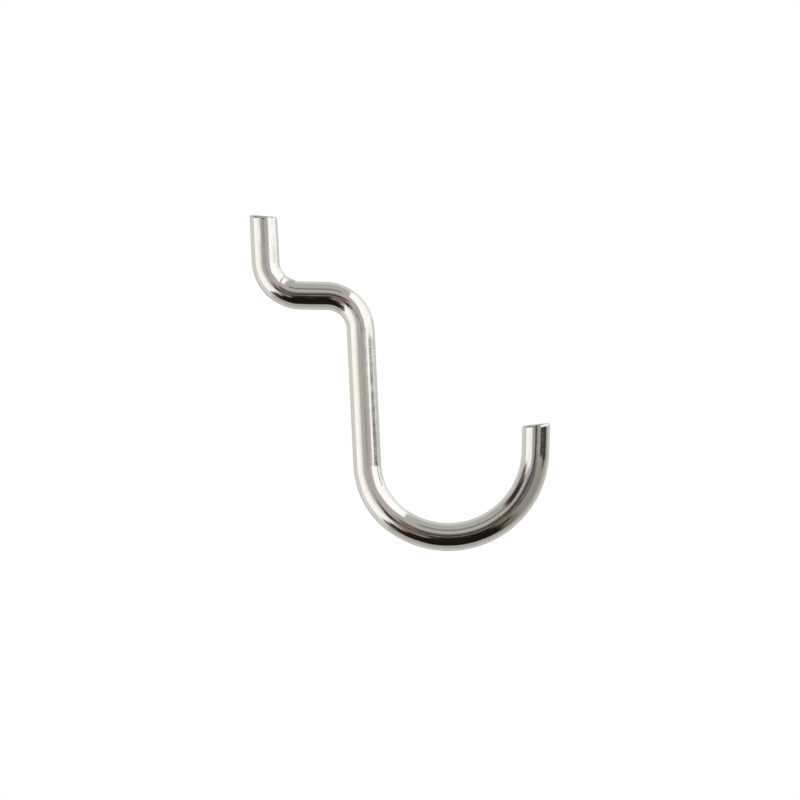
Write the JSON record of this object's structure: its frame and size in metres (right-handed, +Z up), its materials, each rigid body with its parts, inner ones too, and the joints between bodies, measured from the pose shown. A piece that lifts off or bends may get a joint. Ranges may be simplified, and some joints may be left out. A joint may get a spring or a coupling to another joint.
{
  "type": "wire pegboard hook",
  "caption": "Bent wire hook for a perforated board: an upturned peg behind the board, a neck through its hole, a straight leg and an open J that carries the load.",
  "frame": {"origin": "middle of the board's hole, in the plane of the board's front face, on the neck's middle line", "axes": "+X out of the board, towards the hook's tip; +Z up, along the peg and the leg; Y across the wire's plane, with the wire's middle line at Y = 0"},
  "size_m": [0.0416, 0.004, 0.0495],
  "materials": {
    "plated_steel": "bright nickel plating over drawn steel wire"
  },
  "bodies": {
    "root": {"hook_wire": "plated_steel"}
  },
  "joints": []
}
